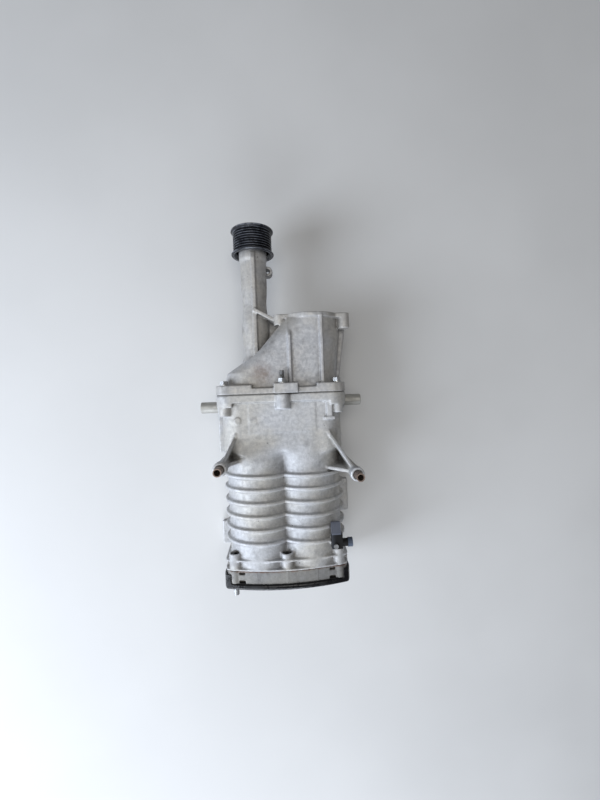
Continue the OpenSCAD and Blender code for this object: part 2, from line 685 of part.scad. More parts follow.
module stud_nut() color("#a9aaa8") centred() difference() {
    union() {
        rod_y(stud_at[0], stud_at[1], stud_face, stud_face + 1.2, washer_r);
        hex_y(stud_at[0], stud_at[1], stud_face + 1, stud_face + 6.5, bolt_head_r);
    }
    rod_y(stud_at[0], stud_at[1], stud_face - 1, stud_face + 8, bolt_r + press);
}

module joint_dowels() color("#8c8c8c") centred() for (side = [-1, 1])
    rod_y(side * joint_dowel[0], side * joint_dowel[1], housing_front - 7, 5, dowel_r);

module rear_bolts() color("#54565a") centred() for (at = rear_bolts_at) {
    seat_y = rear_boss_y - bolt_head_h - 3;
    rod_y(at[0], at[1], cover_rear + 4, seat_y + 1, bolt_r);
    difference() {
        rod_y(at[0], at[1], seat_y, seat_y + bolt_head_h + 1, 4.9);
        hex_y(at[0], at[1], seat_y + 2.5, seat_y + bolt_head_h + 2, 2.9);
    }
}

module rear_dowels() color("#8c8c8c") centred() for (side = [-1, 1])
    rod_y(side * rear_dowel[0], side * rear_dowel[1], housing_rear - 7, housing_rear + 7, dowel_r);

/* ---------- pulley and input shaft ---------- */

module pulley() color("#1b1c20") centred() turn_y(-pitch_r) polygon(concat(
    [[shaft_r + press, pulley_front], [pulley_hub_r, pulley_front], [pulley_hub_r + 1.5, pulley_web_y],
        [pulley_cavity_r - 2, pulley_web_y], [pulley_cavity_r - 0.5, pulley_front],
        [pulley_flange_r - 0.8, pulley_front],
        [pulley_flange_r, pulley_front - 0.8], [pulley_flange_r, pulley_front - 1.8],
        [pulley_r, pulley_front - lip_w]],
    [for (k = [0 : belt_ribs - 1]) each belt_rib(pulley_front - lip_w - k * belt_pitch)],
    [[pulley_r, pulley_y + lip_w], [pulley_flange_r, pulley_y + 1.8], [pulley_flange_r, pulley_y + 0.8],
        [pulley_flange_r - 0.8, pulley_y], [pulley_r - 1.6, pulley_y], [pulley_cavity_r, pulley_y + 4],
        [pulley_cavity_r, pulley_bore_y], [shaft_r + press, pulley_bore_y]]));

// One V-groove and the ridge behind it.
function belt_rib(y) = [[pulley_r, y - 0.25], [pulley_r - rib_depth, y - belt_pitch / 2 + 0.3],
    [pulley_r - rib_depth, y - belt_pitch / 2 - 0.3], [pulley_r, y - belt_pitch + 0.25]];

module input_shaft() color("#9fa1a4") centred() difference() {
    rod_y(-pitch_r, 0, front_hub_y + 1, pulley_front - 0.5, shaft_r);
    rod_y(-pitch_r, 0, pulley_front - 8, pulley_front, 2.5);
}

module snout_seal() color("#262626") centred()
    tube_y(-pitch_r, 0, snout_end - seal_w, snout_end - 0.5, snout_bearing_r, shaft_r + seal_gap);

/* ---------- bearings ---------- */

function ball_r(r_out) = (r_out - shaft_r) * 0.28;
function ball_circle(r_out) = (r_out + shaft_r) / 2;

module bearing_outer(x, y, w, r_out) turn_y(x) difference() {
    race_in = ball_circle(r_out) + ball_r(r_out) * 0.62;
    translate([race_in, y]) square([r_out - race_in, w]);
    translate([ball_circle(r_out), y + w / 2]) circle(ball_r(r_out) + ball_gap);
}

module bearing_inner(x, y, w, r_out) turn_y(x) difference() {
    race_out = ball_circle(r_out) - ball_r(r_out) * 0.62;
    translate([shaft_r + press, y]) square([race_out - shaft_r - press, w]);
    translate([ball_circle(r_out), y + w / 2]) circle(ball_r(r_out) + ball_gap);
}

module bearing_balls(x, y, w, r_out) translate([x, y + w / 2, axis_z])
    for (k = [0 : balls_n - 1]) rotate([0, k * 360 / balls_n, 0]) translate([ball_circle(r_out), 0, 0])
        sphere(r = ball_r(r_out));

// Two rings beside the balls, joined by a bar between each pair of balls.
module bearing_cage(x, y, w, r_out) {
    inside = ball_r(r_out) + 0.25;
    half = inside + 0.8;
    for (end = [-half, inside]) tube_y(x, 0, y + w / 2 + end, y + w / 2 + end + 0.8,
        ball_circle(r_out) + 0.7, ball_circle(r_out) - 0.7);
    for (k = [0 : balls_n - 1]) translate([x, y + w / 2, axis_z]) rotate([0, (k + 0.5) * 360 / balls_n, 0])
        translate([ball_circle(r_out), -half + 0.1, 0]) rotate([-90, 0, 0])
            cylinder(h = 2 * half - 0.2, r = 0.6);
}

module snout_bearing_outers() color("#b4b6b8") centred() for (y = snout_bearings_y)
    bearing_outer(-pitch_r, y, snout_bearing_w - seat, snout_bearing_r);

module snout_bearing_inners() color("#b4b6b8") centred() for (y = snout_bearings_y)
    bearing_inner(-pitch_r, y, snout_bearing_w - seat, snout_bearing_r);

module snout_bearing_balls() color("#cfd0d2") centred() for (y = snout_bearings_y)
    bearing_balls(-pitch_r, y, snout_bearing_w - seat, snout_bearing_r);

module snout_bearing_cages() color("#b59a56") centred() for (y = snout_bearings_y)
    bearing_cage(-pitch_r, y, snout_bearing_w - seat, snout_bearing_r);

module rotor_bearing_outers() color("#b4b6b8") centred() for (side = [-1, 1])
    bearing_outer(side * pitch_r, bearing_y, gear_bearing_w - seat, gear_bearing_r);

module drive_bearing_inner() color("#b4b6b8") centred()
    bearing_inner(-pitch_r, bearing_y, gear_bearing_w - seat, gear_bearing_r);

module driven_bearing_inner() color("#b4b6b8") centred()
    bearing_inner(pitch_r, bearing_y, gear_bearing_w - seat, gear_bearing_r);

module rotor_bearing_balls() color("#cfd0d2") centred() for (side = [-1, 1])
    bearing_balls(side * pitch_r, bearing_y, gear_bearing_w - seat, gear_bearing_r);

module rotor_bearing_cages() color("#b59a56") centred() for (side = [-1, 1])
    bearing_cage(side * pitch_r, bearing_y, gear_bearing_w - seat, gear_bearing_r);

module needle_cups() color("#a8aaac") centred() for (side = [-1, 1])
    tube_y(side * pitch_r, 0, cup_y, cup_y + cup_len, cup_r, cup_r - 0.75);

module needle_rollers() color("#cfd0d2") centred() for (side = [-1, 1], k = [0 : needle_n - 1])
    translate([side * pitch_r, 0, axis_z]) rotate([0, k * 360 / needle_n, 0])
        translate([shaft_r + run + needle_r, cup_y + 0.6, 0]) rotate([-90, 0, 0])
            cylinder(h = cup_len - 1.2, r = needle_r, $fn = 16);

module rotor_seals() color("#262626") centred() for (side = [-1, 1])
    tube_y(side * pitch_r, 0, housing_rear - seal_t, housing_rear - seat, seal_r, shaft_r + seal_gap);

/* ---------- coupling ---------- */

module coupling_hub(y0, y1, pins_from, turn) {
    difference() {
        union() {
            rod_y(-pitch_r, 0, y0, y1, coupling_r - 6);
            rod_y(-pitch_r, 0, pins_from < y0 ? y0 : y1 - 6, pins_from < y0 ? y0 + 6 : y1, coupling_r - 1);
        }
        rod_y(-pitch_r, 0, y0 - 1, y1 + 1, shaft_r + press);
    }
    coupling_pins(pins_from < y0 ? pins_from : y1 - 1, pins_from < y0 ? y0 + 1 : pins_from, turn, pin_r);
}

module coupling_pins(y0, y1, turn, r) translate([-pitch_r, 0, axis_z]) for (k = [0 : 2])
    rotate([0, turn + k * 120, 0]) translate([pin_circle, y0, 0]) rotate([-90, 0, 0])
        cylinder(h = y1 - y0, r = r);

module coupling_front_hub() color("#8a8c8f") centred()
    coupling_hub(front_hub_y, front_hub_y + hub_t, isolator_y + 1, 0);

module coupling_rear_hub() color("#8a8c8f") centred()
    coupling_hub(rear_hub_front - hub_t, rear_hub_front, isolator_y + isolator_t - 1, 60);

module coupling_isolator() color("#3b2f28") centred() difference() {
    rod_y(-pitch_r, 0, isolator_y, isolator_y + isolator_t, coupling_r);
    rod_y(-pitch_r, 0, isolator_y - 1, isolator_y + isolator_t + 1, 6);
    for (turn = [0, 60]) coupling_pins(isolator_y - 1, isolator_y + isolator_t + 1, turn, pin_r + press);
}

/* ---------- rotors, shafts and timing gears ---------- */

function polar(r, a) = [r * cos(a), r * sin(a)];

// Lobe flank: a point on a circle rolling outside the pitch circle, moved in by the gap.
function lobe_point(start, t) = let (a = start + t, b = 2 * lobes * t)
    polar(pitch_r + roll_r, a) - polar(roll_r, a + b) + polar(flank_gap, a + b / 2 + 90);

// Valley: the same circle rolling inside the pitch circle.
function valley_point(start, t) = let (a = start + t, b = 2 * lobes * t)
    polar(pitch_r - roll_r, a) + polar(roll_r, a - b) + polar(flank_gap, a - b / 2 - 90);

module rotor_outline() polygon([for (k = [0 : lobes - 1]) each concat(
    [for (s = [0 : sector_steps - 1]) lobe_point((2 * k - 0.5) * sector, s * sector / sector_steps)],
    [for (s = [0 : sector_steps - 1]) valley_point((2 * k + 0.5) * sector, s * sector / sector_steps)])]);

module rotor(x, turn, hand) difference() {
    translate([x, rotor_front, axis_z]) rotate([90, 0, 0]) rotate([0, 0, turn])
        linear_extrude(rotor_len, twist = hand * rotor_twist, slices = rotor_slices) rotor_outline();
    rod_y(x, 0, rotor_rear - 1, rotor_front + 1, shaft_r + press);
}

module drive_rotor() color("#a7a9aa") centred() rotor(-pitch_r, 0, 1);

module driven_rotor() color("#a7a9aa") centred() rotor(pitch_r, sector, -1);

module drive_rotor_shaft() color("#9fa1a4") centred()
    rod_y(-pitch_r, 0, shaft_rear, rear_hub_front - 1, shaft_r);

module driven_rotor_shaft() color("#9fa1a4") centred()
    rod_y(pitch_r, 0, shaft_rear, wall_front - 1, shaft_r);

function involute(a) = (tan(a) - a * PI / 180) * 180 / PI;

// Polar angle of the tooth flank from the tooth's middle, at radius r.
function flank(r) = 90 / gear_teeth - backlash / pitch_r * 90 / PI + involute(pressure)
    - (r > base_r ? involute(acos(base_r / r)) : 0);

module gear(x, turn) difference() {
    translate([x, gear_front, axis_z]) rotate([90, turn, 0]) linear_extrude(gear_w)
        polygon([for (k = [0 : gear_teeth - 1]) each concat(
            [for (r = flank_radii) polar(r, k * 360 / gear_teeth - flank(r))],
            [for (i = [len(flank_radii) - 1 : -1 : 0])
                polar(flank_radii[i], k * 360 / gear_teeth + flank(flank_radii[i]))])]);
    rod_y(x, 0, gear_front - gear_w - 1, gear_front + 1, shaft_r + press);
}

module drive_gear() color("#7f8388") centred() gear(-pitch_r, 0);

module driven_gear() color("#7f8388") centred() gear(pitch_r, 180 / gear_teeth);

/* ---------- sensor ---------- */

module at_sensor(z) translate([sensor_x, sensor_y, axis_z + sensor_z + z]) children();

module sensor_body() color("#1c1d20") centred() {
    at_sensor(0) translate([-sensor_w / 2, -8, 0]) cube([sensor_w, 20, sensor_h]);
    at_sensor(-sensor_stem) cylinder(h = sensor_stem + 1, r = 4.7);
    at_sensor(sensor_plug_z) translate([6, -1, 0]) rotate([0, 90, 0]) cylinder(h = 9, r = 5.4);
}

module sensor_cap() color("#3b4048") centred() at_sensor(sensor_plug_z)
    translate([15.2, -1, 0]) rotate([0, 90, 0]) difference() {
        cylinder(h = 6.5, r = 6.4);
        translate([0, 0, 2]) cylinder(h = 6, r = 4.6);
    }

module sensor_bracket() color("#9ba3b3") centred() at_sensor(0)
    translate([-sensor_w / 2, 12, 0]) rotate([90, 0, 90]) linear_extrude(sensor_w - 2)
        polygon([[0, 0], [0, 11.6], [2, 11.8], [15, 4], [15, 0]]);

module sensor_screw() color("#c4c6c8") centred() at_sensor(sensor_h)
    translate([-2, -4, 0]) cylinder(h = 2.2, r = 3.2);

/* ---------- output ---------- */

rotor_housing();
inlet_housing();
joint_gasket();
bearing_plate();
gear_cover();
gear_cover_seal();
cover_plug();
side_spigots();
foot_sleeves();
joint_bolts();
joint_stud();
stud_nut();
joint_dowels();
rear_bolts();
rear_dowels();
pulley();
input_shaft();
snout_seal();
snout_bearing_outers();
snout_bearing_inners();
snout_bearing_balls();
snout_bearing_cages();
coupling_front_hub();
coupling_isolator();
coupling_rear_hub();
drive_rotor();
drive_rotor_shaft();
driven_rotor();
driven_rotor_shaft();
needle_cups();
needle_rollers();
rotor_seals();
rotor_bearing_outers();
drive_bearing_inner();
driven_bearing_inner();
rotor_bearing_balls();
rotor_bearing_cages();
drive_gear();
driven_gear();
sensor_bracket();
sensor_body();
sensor_cap();
sensor_screw();
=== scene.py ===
import json
import math

import bmesh
import bpy
import numpy as np
from mathutils import Matrix, Vector


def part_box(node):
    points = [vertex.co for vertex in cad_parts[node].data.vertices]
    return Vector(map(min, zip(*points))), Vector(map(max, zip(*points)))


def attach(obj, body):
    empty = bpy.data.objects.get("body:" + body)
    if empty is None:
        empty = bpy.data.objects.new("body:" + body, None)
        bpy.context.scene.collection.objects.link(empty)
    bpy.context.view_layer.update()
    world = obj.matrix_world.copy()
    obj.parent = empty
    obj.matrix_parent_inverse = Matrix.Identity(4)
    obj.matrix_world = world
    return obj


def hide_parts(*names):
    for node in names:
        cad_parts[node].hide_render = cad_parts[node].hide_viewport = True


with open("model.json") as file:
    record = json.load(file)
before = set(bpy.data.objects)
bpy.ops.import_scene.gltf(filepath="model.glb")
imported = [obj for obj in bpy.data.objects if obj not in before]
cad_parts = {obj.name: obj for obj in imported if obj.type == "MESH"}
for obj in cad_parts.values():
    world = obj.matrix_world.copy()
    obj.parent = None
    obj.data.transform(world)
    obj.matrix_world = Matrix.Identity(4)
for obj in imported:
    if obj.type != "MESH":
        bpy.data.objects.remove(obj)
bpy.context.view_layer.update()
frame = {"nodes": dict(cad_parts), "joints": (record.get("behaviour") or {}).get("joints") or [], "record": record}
nodes = frame["nodes"]
mm = 0.001

# ---------------------------------------------------------------- stations
# Everything is placed from the pulley's joint and the boxes of the CAD nodes.
drive_axis = Vector(next(joint["pos_m"] for joint in frame["joints"] if joint["name"] == "pulley_spin"))
joint_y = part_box("joint_gasket")[1].y
plate_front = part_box("bearing_plate")[1].y
bores_front, bores_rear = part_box("needle_cups")[1].y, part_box("needle_cups")[0].y
pulley_low, pulley_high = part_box("pulley")


# ---------------------------------------------------------------- shader helper
class Shader:
    """A material's node tree round one Principled shader."""

    def __init__(self, name, metallic, **sockets):
        self.mat = bpy.data.materials.new(name)
        self.mat.use_nodes = True
        self.tree = self.mat.node_tree
        self.bsdf = self.tree.nodes["Principled BSDF"]
        self.bsdf.inputs["Metallic"].default_value = metallic
        for socket, value in sockets.items():
            self.bsdf.inputs[socket.replace("_", " ")].default_value = value
        self.place = self.node("ShaderNodeTexCoord").outputs["Object"]

    def node(self, kind, settings=(), **links):
        """A node with its settings, and its inputs set or linked by name."""
        made = self.tree.nodes.new(kind)
        for key, value in dict(settings).items():
            setattr(made, key, value)
        for key, value in links.items():
            self.put(made.inputs[key.replace("_", " ")], value)
        return made

    def put(self, socket, value):
        """Links another node's output to a socket, or sets a plain value on it."""
        if isinstance(value, bpy.types.NodeSocket):
            self.tree.links.new(value, socket)
        else:
            socket.default_value = value

    def noise(self, size, detail=4.0, rough=0.55, stretch=(1, 1, 1), seed=0.0):
        """Fractal noise whose features are about size metres across."""
        moved = self.node("ShaderNodeMapping", Vector=self.place, Scale=stretch,
                          Location=(seed, seed * 0.7, seed * 1.3))
        made = self.node("ShaderNodeTexNoise", Vector=moved.outputs["Vector"], Scale=1 / size,
                         Detail=detail, Roughness=rough)
        return made.outputs["Fac"]

    def cells(self, size, seed=0.0):
        """Distance to the nearest of the points scattered size metres apart."""
        moved = self.node("ShaderNodeMapping", Vector=self.place, Location=(seed, seed, seed))
        made = self.node("ShaderNodeTexVoronoi", Vector=moved.outputs["Vector"], Scale=1 / size)
        return made.outputs["Distance"]

    def band(self, value, low, high, out_low=0.0, out_high=1.0):
        """Smooth step from out_low to out_high as a value goes from low to high."""
        made = self.node("ShaderNodeMapRange", {"interpolation_type": "SMOOTHSTEP"}, Value=value)
        for socket, number in (("From Min", low), ("From Max", high), ("To Min", out_low),
                               ("To Max", out_high)):
            made.inputs[socket].default_value = number
        return made.outputs["Result"]

    def math(self, operation, a, b=0.0):
        made = self.node("ShaderNodeMath", {"operation": operation})
        self.put(made.inputs[0], a)
        self.put(made.inputs[1], b)
        return made.outputs[0]

    def mix(self, amount, a, b):
        """Colour a, going to colour b by amount."""
        made = self.node("ShaderNodeMix", {"data_type": "RGBA"})
        self.put(made.inputs[0], amount)
        for index, value in ((6, a), (7, b)):
            self.put(made.inputs[index], (*value, 1) if isinstance(value, tuple) else value)
        return made.outputs[2]

    def recess(self, reach):
        """Near 0 in corners closer than reach, and 1 in the open."""
        made = self.node("ShaderNodeAmbientOcclusion", {"samples": 6}, Distance=reach)
        return made.outputs["AO"]

    def convex(self, low=0.515, high=0.585):
        """1 on outward edges."""
        return self.band(self.node("ShaderNodeNewGeometry").outputs["Pointiness"], low, high)

    def axis(self, letter):
        """The X, Y or Z place of a point on the surface, in metres."""
        split = self.node("ShaderNodeSeparateXYZ", Vector=self.place)
        return split.outputs[letter]

    def finish(self, colour, roughness, *bumps):
        """Links colour and roughness, and a chain of (height, depth in metres) bumps."""
        self.put(self.bsdf.inputs["Base Color"], colour)
        self.put(self.bsdf.inputs["Roughness"], roughness)
        normal = None
        for height, depth in bumps:
            made = self.node("ShaderNodeBump", Height=height, Distance=depth)
            if normal is not None:
                self.put(made.inputs["Normal"], normal)
            normal = made.outputs["Normal"]
        self.put(self.bsdf.inputs["Normal"], normal)
        return self.mat


def shade(colour, factor, most=1.0):
    """A colour made darker or lighter by a factor."""
    return tuple(min(channel * factor, most) for channel in colour)


# ---------------------------------------------------------------- cast metal
def cast(name, cool, warm, dirt_and_shade, grime_and_shade_amount, stain=0.0):
    """Sand-cast aluminium: grain, mottling, smudges, pits, edges lightened by wear and painted highlight, and
    corners darkened by grime and painted shade.
    """
    s = Shader(name, 0.3)
    dark = shade(cool, 0.42)
    bright = shade(cool, 1.4, 0.9)
    smudge = tuple((a + b) / 2 for a, b in zip(dark, dirt_and_shade))
    # the metal's own colour, mottle and grain
    grain = s.noise(0.8 * mm, 3, 0.62)
    mottle = s.noise(5 * mm, 5, 0.6, seed=3.1)
    patches = s.noise(60 * mm, 3, 0.5, seed=7.7)
    colour = s.mix(s.band(patches, 0.35, 0.65), cool, warm)
    colour = s.mix(s.band(mottle, 0.3, 0.72, 0.0, 0.34), colour, dark)
    colour = s.mix(s.band(grain, 0.26, 0.5, 0.62, 0.0), colour, dark)
    colour = s.mix(s.band(grain, 0.54, 0.75, 0.0, 0.42), colour, bright)
    # clouds, streaks and spots of old oil
    cloud = s.band(s.noise(30 * mm, 6, 0.65, seed=12.3), 0.52, 0.72, 0.0, 0.42 + stain)
    colour = s.mix(cloud, colour, smudge)
    streaks = s.band(s.noise(11 * mm, 5, 0.62, (1, 0.35, 1), 18.2), 0.55, 0.75, 0.0, 0.3)
    colour = s.mix(streaks, colour, dark)
    spots = s.band(s.noise(12 * mm, 3, 0.6, seed=15.1), 0.66, 0.74, 0.0, 0.3)
    colour = s.mix(spots, colour, dirt_and_shade)
    # a few casting pits, darkened with dirt and painted shade
    pits = s.math("MULTIPLY", s.band(s.cells(11 * mm, 1.7), 0.05, 0.085, 1.0, 0.0),
                  s.band(s.noise(30 * mm, 1, 0.5, seed=21.0), 0.56, 0.6))
    colour = s.mix(s.math("MULTIPLY", pits, 0.85), colour, shade(dirt_and_shade, 0.25))
    # edges lightened by wear and painted highlight, and corners darkened by grime and painted shade
    edge_wear_and_highlight = s.convex()
    # outward edges lightened: wear and painted highlight
    colour = s.mix(s.math("MULTIPLY", edge_wear_and_highlight, 0.5), colour, bright)
    # ambient occlusion darkens the corners: grime and painted shade
    near = s.band(s.recess(4 * mm), 0.35, 0.9, grime_and_shade_amount, 0.0)
    wide = s.band(s.recess(14 * mm), 0.3, 0.9, 0.45 * grime_and_shade_amount, 0.0)
    grime_and_shade = s.math("MULTIPLY", s.math("MAXIMUM", near, wide), s.band(mottle, 0.2, 0.6, 0.6, 1.0))
    colour = s.mix(grime_and_shade, colour, dirt_and_shade)
    roughness = s.math("SUBTRACT", s.band(mottle, 0.3, 0.7, 0.48, 0.66),
                       s.math("MULTIPLY", edge_wear_and_highlight, 0.12))
    return s, colour, roughness, ((grain, 0.13 * mm), (mottle, 0.22 * mm), (pits, -0.35 * mm))


def aluminium():
    s, colour, roughness, bumps = cast("cast_aluminium", (0.52, 0.53, 0.55), (0.52, 0.505, 0.47),
                                       (0.075, 0.068, 0.060), 0.92)
    return s.finish(colour, roughness, *bumps)


def duct_aluminium():
    """The inlet casting has an oil-brown stain on the duct beside the stud."""
    s, colour, roughness, bumps = cast("duct_aluminium", (0.47, 0.475, 0.49), (0.47, 0.45, 0.415),
                                       (0.07, 0.062, 0.053), 0.92, 0.1)
    spot = Vector((-0.025, joint_y + 0.027, drive_axis.z + 0.042))
    gone = s.node("ShaderNodeVectorMath", {"operation": "DISTANCE"}, Vector=s.place)
    gone.inputs[1].default_value = spot
    near = s.band(gone.outputs["Value"], 4 * mm, 24 * mm, 1.0, 0.0)
    blotch = s.band(s.noise(9 * mm, 4, 0.6, seed=5.0), 0.3, 0.7, 0.3, 0.8)
    colour = s.mix(s.math("MULTIPLY", near, blotch), colour, (0.17, 0.12, 0.09))
    return s.finish(colour, roughness, *bumps)


def stained():
    """The bearing plate: darker, blotched, with rust creeping from its front joint."""
    s, colour, roughness, bumps = cast("stained_casting", (0.25, 0.25, 0.25), (0.275, 0.265, 0.24),
                                       (0.07, 0.062, 0.053), 0.8, 0.2)
    away = s.math("SUBTRACT", plate_front, s.axis("Y"))
    creep = s.band(away, 0.3 * mm, 3.2 * mm, 1.0, 0.0)
    rust = s.math("MULTIPLY", creep, s.band(s.noise(6 * mm, 5, 0.65, (1, 0.3, 1)), 0.38, 0.62))
    colour = s.mix(s.math("MULTIPLY", rust, 0.8), colour, (0.16, 0.075, 0.04))
    # two painted shade lines standing in for the edges of a raised band
    across = s.axis("X")
    for x in (-42 * mm, 43 * mm):
        gone = s.math("ABSOLUTE", s.math("SUBTRACT", across, x))
        colour = s.mix(s.band(gone, 0.2 * mm, 0.8 * mm, 0.55, 0.0), colour, (0.10, 0.095, 0.09))
    runs = s.band(s.noise(9 * mm, 4, 0.6, (1, 0.12, 1), 9.0), 0.55, 0.72, 0.0, 0.35)
    colour = s.mix(runs, colour, (0.12, 0.11, 0.10))
    return s.finish(colour, roughness, *bumps)


# ---------------------------------------------------------------- steel
def steel(name, colour, dark, metallic=0.85, low=0.28, high=0.5, stretch=(1, 1, 1), dirt_and_shade=0.5):
    """Turned or plated steel: fine tool marks, tarnish patches, edges lightened by wear and painted highlight, and
    corners darkened by grime and painted shade.
    """
    s = Shader(name, metallic)
    marks = s.noise(1.1 * mm, 3, 0.6, stretch)
    tarnish = s.noise(9 * mm, 5, 0.62, seed=4.4)
    tone = s.mix(s.band(tarnish, 0.4, 0.68, 0.0, 0.7), colour, dark)
    tone = s.mix(s.band(marks, 0.3, 0.7, 0.22, 0.0), tone, shade(dark, 0.6))
    # outward edges lightened: wear and painted highlight
    tone = s.mix(s.math("MULTIPLY", s.convex(), 0.45), tone, shade(colour, 1.4, 0.95))
    # corners darkened: grime and painted shade
    tone = s.mix(s.band(s.recess(2.5 * mm), 0.3, 0.8, dirt_and_shade, 0.0), tone, shade(dark, 0.35))
    return s.finish(tone, s.band(tarnish, 0.3, 0.7, low, high), (marks, 0.03 * mm))


def threaded():
    """Zinc-plated stud with a thread of 1 mm pitch."""
    s = Shader("threaded_steel", 0.85)
    turns = s.math("SINE", s.math("MULTIPLY", s.axis("Y"), 2 * math.pi / mm))
    tarnish = s.noise(3 * mm, 4, 0.6)
    colour = s.mix(s.band(tarnish, 0.35, 0.65), (0.50, 0.51, 0.52), (0.26, 0.25, 0.23))
    # the thread's grooves darkened with painted shade
    colour = s.mix(s.band(turns, -1.0, 0.0, 0.5, 0.0), colour, (0.08, 0.078, 0.072))
    return s.finish(colour, s.band(tarnish, 0.3, 0.7, 0.3, 0.5), (turns, 0.25 * mm))


# ---------------------------------------------------------------- plastic, paint and rubber
def black(name, tone, metallic, low, high, worn_and_highlit, wear_and_highlight=0.3, size=0.8 * mm, **sockets):
    """Black paint or moulded plastic: fine texture, dusty patches, and edges lightened by wear and painted
    highlight.
    """
    s = Shader(name, metallic, **sockets)
    fine = s.noise(size, 3, 0.6)
    dust = s.noise(16 * mm, 5, 0.6, seed=6.2)
    dusty = tuple(c * 2.6 + 0.012 for c in tone)
    colour = s.mix(s.band(dust, 0.42, 0.75, 0.0, 0.3), tone, dusty)
    colour = s.mix(s.band(fine, 0.35, 0.65, 0.0, 0.3), colour, shade(tone, 0.45))
    # outward edges lightened: wear and painted highlight
    rubbed_and_highlit = s.math("MULTIPLY", s.convex(0.53, 0.66), s.band(dust, 0.3, 0.6, 0.4, 1.0))
    colour = s.mix(s.math("MULTIPLY", rubbed_and_highlit, wear_and_highlight), colour, worn_and_highlit)
    return s.finish(colour, s.band(dust, 0.35, 0.7, low, high), (fine, 0.03 * mm))


def pulley_paint():
    """Satin black paint, lightened to grey on the belt ribs' crests and the flanges' rims by wear and painted
    glints.
    """
    s = Shader("pulley_black", 0.2)
    rim = (pulley_high.x - pulley_low.x) / 2
    crest = rim - 2.9 * mm
    split = s.node("ShaderNodeSeparateXYZ", Vector=s.place)
    across = s.math("SUBTRACT", split.outputs["X"], drive_axis.x)
    up = s.math("SUBTRACT", split.outputs["Z"], drive_axis.z)
    radius = s.math("SQRT", s.math("ADD", s.math("MULTIPLY", across, across),
                                   s.math("MULTIPLY", up, up)))
    fine = s.noise(1.2 * mm, 3, 0.6)
    dust = s.noise(9 * mm, 5, 0.6, seed=6.2)
    # grey bands on crests and rims: wear and painted glints
    on_crest = s.math("MULTIPLY", s.band(radius, crest - 0.45 * mm, crest - 0.1 * mm),
                      s.band(radius, crest + 0.1 * mm, crest + 0.4 * mm, 1.0, 0.0))
    on_rim = s.band(radius, rim - 0.5 * mm, rim - 0.1 * mm)
    rubbed_and_highlit = s.band(dust, 0.35, 0.62, 0.12, 0.7)
    worn_and_highlit = s.math("MULTIPLY", s.math("MAXIMUM", on_crest, on_rim), rubbed_and_highlit)
    colour = s.mix(s.band(dust, 0.42, 0.75, 0.0, 0.35), (0.013, 0.0135, 0.017), (0.045, 0.047, 0.055))
    colour = s.mix(s.band(fine, 0.35, 0.65, 0.0, 0.3), colour, (0.006, 0.006, 0.007))
    colour = s.mix(worn_and_highlit, colour, (0.20, 0.215, 0.25))
    return s.finish(colour, s.band(dust, 0.35, 0.7, 0.24, 0.42), (fine, 0.03 * mm))


def rubber(name, tone):
    """Matt rubber with a pale bloom."""
    s = Shader(name, 0.0)
    fine = s.noise(0.6 * mm, 3, 0.6)
    bloom = s.noise(6 * mm, 4, 0.6, seed=2.2)
    colour = s.mix(s.band(bloom, 0.4, 0.7, 0.0, 0.5), tone, shade(tone, 1.9))
    colour = s.mix(s.band(fine, 0.3, 0.6, 0.35, 0.0), colour, shade(tone, 0.5))
    return s.finish(colour, s.band(bloom, 0.3, 0.7, 0.6, 0.82), (fine, 0.04 * mm))


def floor_paint():
    """Pale matt paper, hardly varied."""
    s = Shader("studio_floor", 0.0)
    broad = s.noise(0.35, 4, 0.5)
    fine = s.noise(2.5 * mm, 3, 0.5)
    colour = s.mix(s.band(broad, 0.3, 0.7), (0.60, 0.60, 0.595), (0.64, 0.64, 0.635))
    return s.finish(colour, s.band(broad, 0.3, 0.7, 0.65, 0.8), (fine, 0.05 * mm))


# ---------------------------------------------------------------- what each node wears
finishes = {
    "cast_aluminium": aluminium(),
    "stained_casting": stained(),
    "black_cover": black("black_cover", (0.006, 0.006, 0.0068), 0.0, 0.2, 0.42,
                         (0.10, 0.105, 0.12), 0.35, 1.4 * mm),
    "black_metal": black("black_metal", (0.014, 0.0145, 0.018), 0.25, 0.24, 0.42,
                         (0.26, 0.28, 0.33), 0.6),
    "seal_rubber": rubber("seal_rubber", (0.018, 0.018, 0.018)),
    "gasket": rubber("gasket", (0.15, 0.145, 0.135)),
    "zinc_steel": steel("zinc_steel", (0.50, 0.51, 0.52), (0.24, 0.235, 0.215)),
    "dark_steel": steel("dark_steel", (0.10, 0.10, 0.105), (0.045, 0.043, 0.042), 0.8, 0.3, 0.5),
    "ground_steel": steel("ground_steel", (0.56, 0.56, 0.57), (0.36, 0.355, 0.35), 0.95, 0.16, 0.3,
                          (1, 6, 1), 0.3),
    "bearing_steel": steel("bearing_steel", (0.60, 0.60, 0.61), (0.42, 0.42, 0.42), 0.95, 0.12, 0.24,
                           (1, 5, 1), 0.3),
    "cage_brass": steel("cage_brass", (0.60, 0.44, 0.19), (0.33, 0.22, 0.09), 0.9, 0.25, 0.42),
    "rotor_aluminium": steel("rotor_aluminium", (0.50, 0.505, 0.51), (0.30, 0.295, 0.28), 0.7, 0.3,
                             0.46, (1, 0.15, 1)),
    "isolator_polymer": rubber("isolator_polymer", (0.045, 0.026, 0.016)),
    "sensor_plastic": black("sensor_plastic", (0.006, 0.006, 0.0065), 0.0, 0.6, 0.8,
                            (0.10, 0.11, 0.13), 0.5, Specular_IOR_Level=0.22),
    "cap_plastic": black("cap_plastic", (0.010, 0.013, 0.019), 0.0, 0.5, 0.7,
                         (0.16, 0.20, 0.28), 0.5, Specular_IOR_Level=0.3),
    "sleeve_steel": steel("sleeve_steel", (0.20, 0.155, 0.13), (0.075, 0.05, 0.038), 0.7, 0.35, 0.6),
}

